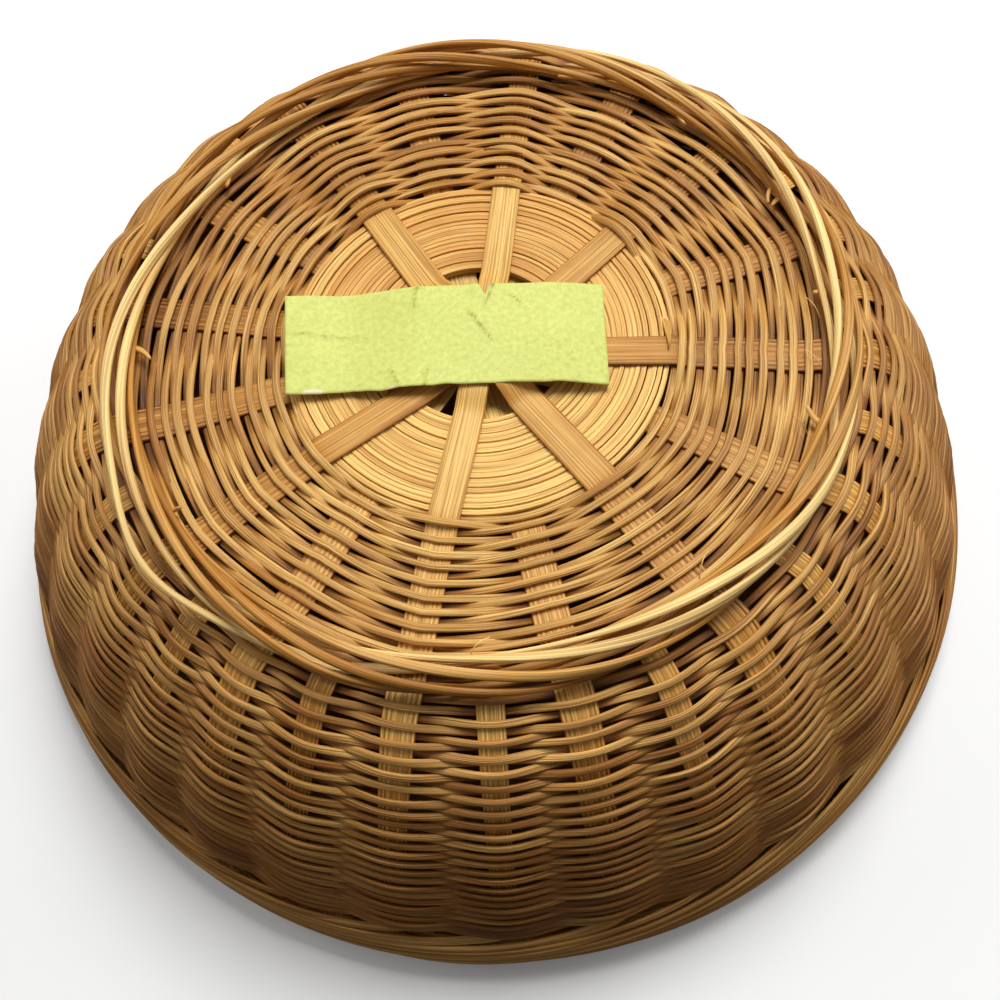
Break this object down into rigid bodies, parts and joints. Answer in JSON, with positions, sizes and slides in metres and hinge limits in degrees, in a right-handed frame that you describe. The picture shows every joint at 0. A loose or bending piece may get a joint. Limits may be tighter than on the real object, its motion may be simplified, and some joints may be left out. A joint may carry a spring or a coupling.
{
  "type": "basket",
  "caption": "Shallow round woven bamboo basket, resting mouth down, with a wound disc in its base, a rope foot ring, a rope rim and a paper label.",
  "frame": {"origin": "centre of the mouth's plane, on the surface that the rim rests on, on the basket's axis", "axes": "+Z along the basket's axis from the mouth to the foot ring, so the basket lies mouth down as in the picture; +X runs along the label, +Y across it. In use it is turned over and stands on its foot ring."},
  "size_m": [0.3005, 0.3006, 0.1048],
  "materials": {
    "strip_bamboo": "flat split bamboo with lengthwise fibres, satin",
    "stake_bamboo": "flat split bamboo with lengthwise fibres, satin",
    "disc_bamboo": "pale split bamboo wound on edge, satin",
    "base_weave_bamboo": "honey-coloured split bamboo, low gloss",
    "side_weave_bamboo": "honey-brown split bamboo, low gloss",
    "foot_cane": "straw-coloured peeled cane, satin",
    "rim_cane": "honey-brown peeled cane, satin",
    "label_paper": "bare yellow-green paper, matt"
  },
  "bodies": {
    "root": {"outer_strip_1": "strip_bamboo", "outer_strip_2": "strip_bamboo", "outer_strip_3": "strip_bamboo", "outer_strip_4": "strip_bamboo", "inner_strip_1": "strip_bamboo", "inner_strip_2": "strip_bamboo", "inner_strip_3": "strip_bamboo", "inner_strip_4": "strip_bamboo", "side_stake_1": "stake_bamboo", "side_stake_2": "stake_bamboo", "side_stake_3": "stake_bamboo", "side_stake_4": "stake_bamboo", "side_stake_5": "stake_bamboo", "side_stake_6": "stake_bamboo", "side_stake_7": "stake_bamboo", "side_stake_8": "stake_bamboo", "side_stake_9": "stake_bamboo", "side_stake_10": "stake_bamboo", "side_stake_11": "stake_bamboo", "side_stake_12": "stake_bamboo", "side_stake_13": "stake_bamboo", "side_stake_14": "stake_bamboo", "side_stake_15": "stake_bamboo", "side_stake_16": "stake_bamboo", "wound_disc": "disc_bamboo", "base_weaver_1": "base_weave_bamboo", "base_weaver_2": "base_weave_bamboo", "side_weaver_1": "side_weave_bamboo", "side_weaver_2": "side_weave_bamboo", "foot_core": "foot_cane", "foot_strand_1": "foot_cane", "foot_strand_2": "foot_cane", "foot_strand_3": "foot_cane", "foot_strand_4": "foot_cane", "foot_strand_5": "foot_cane", "rim_core": "rim_cane", "rim_strand_1": "rim_cane", "rim_strand_2": "rim_cane", "rim_strand_3": "rim_cane", "rim_strand_4": "rim_cane", "rim_strand_5": "rim_cane", "label": "label_paper"}
  },
  "joints": []
}
